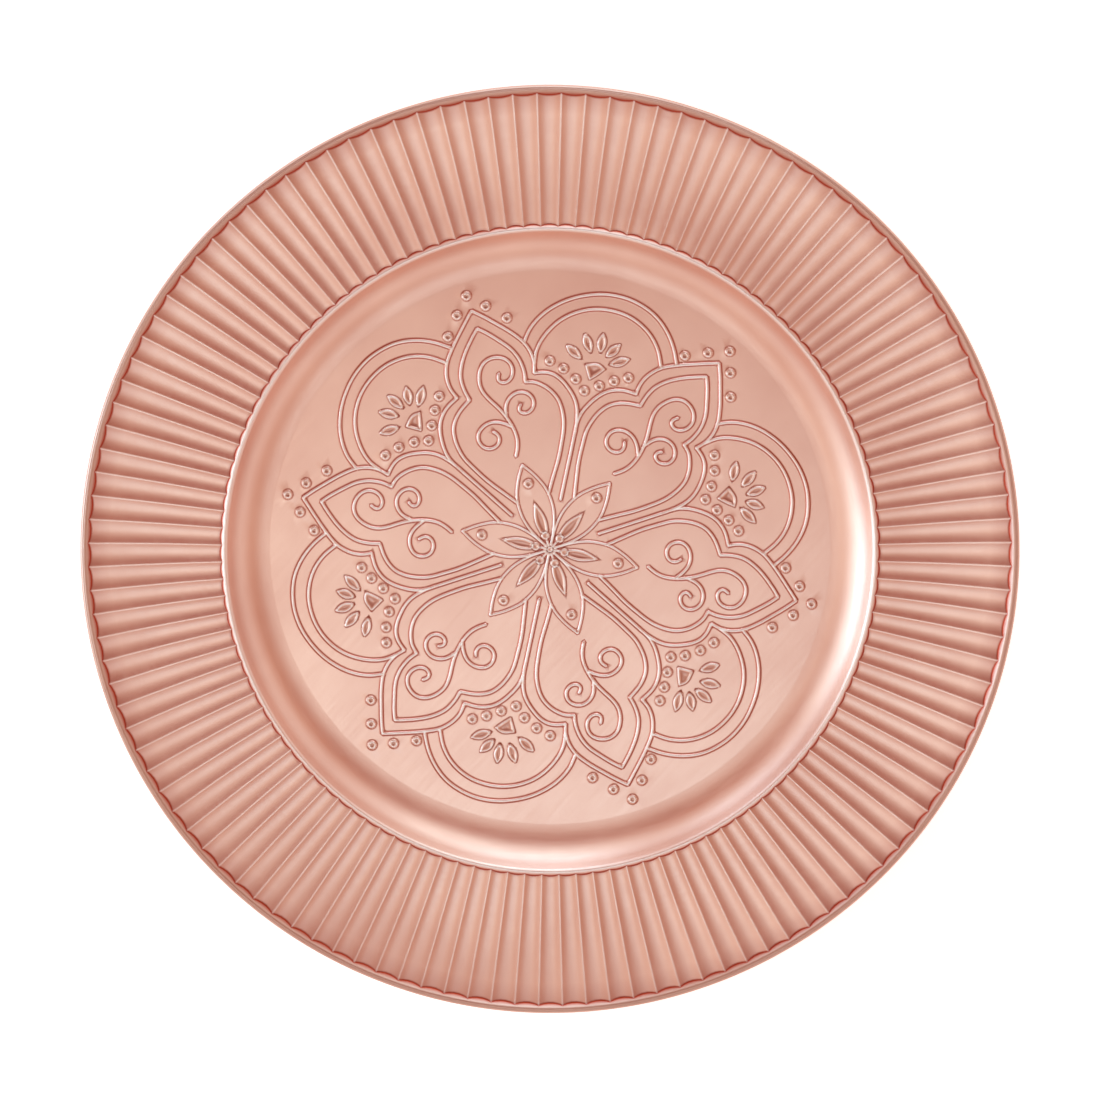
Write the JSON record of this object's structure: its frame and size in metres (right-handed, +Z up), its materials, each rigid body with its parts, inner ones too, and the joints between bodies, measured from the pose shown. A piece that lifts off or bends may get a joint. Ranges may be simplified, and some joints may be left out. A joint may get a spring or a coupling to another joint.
{
  "type": "fluted copper charger tray",
  "caption": "Round shallow copper tray with a flat embossed floor, coved wall, raised shoulder ring, broad radially fluted rim and a wired edge.",
  "frame": {"origin": "centre of the floor's underside, the face that the tray rests on", "axes": "+Z up out of the tray's well; +X through the middle of one flute and one petal of the floor's pattern"},
  "size_m": [0.3298, 0.3298, 0.0142],
  "materials": {
    "copper": "satin rose copper, finely brushed, redder in the recesses",
    "wire_steel": "plain drawn wire"
  },
  "bodies": {
    "root": {"tray_sheet": "copper", "rim_wire": "wire_steel"}
  },
  "joints": []
}
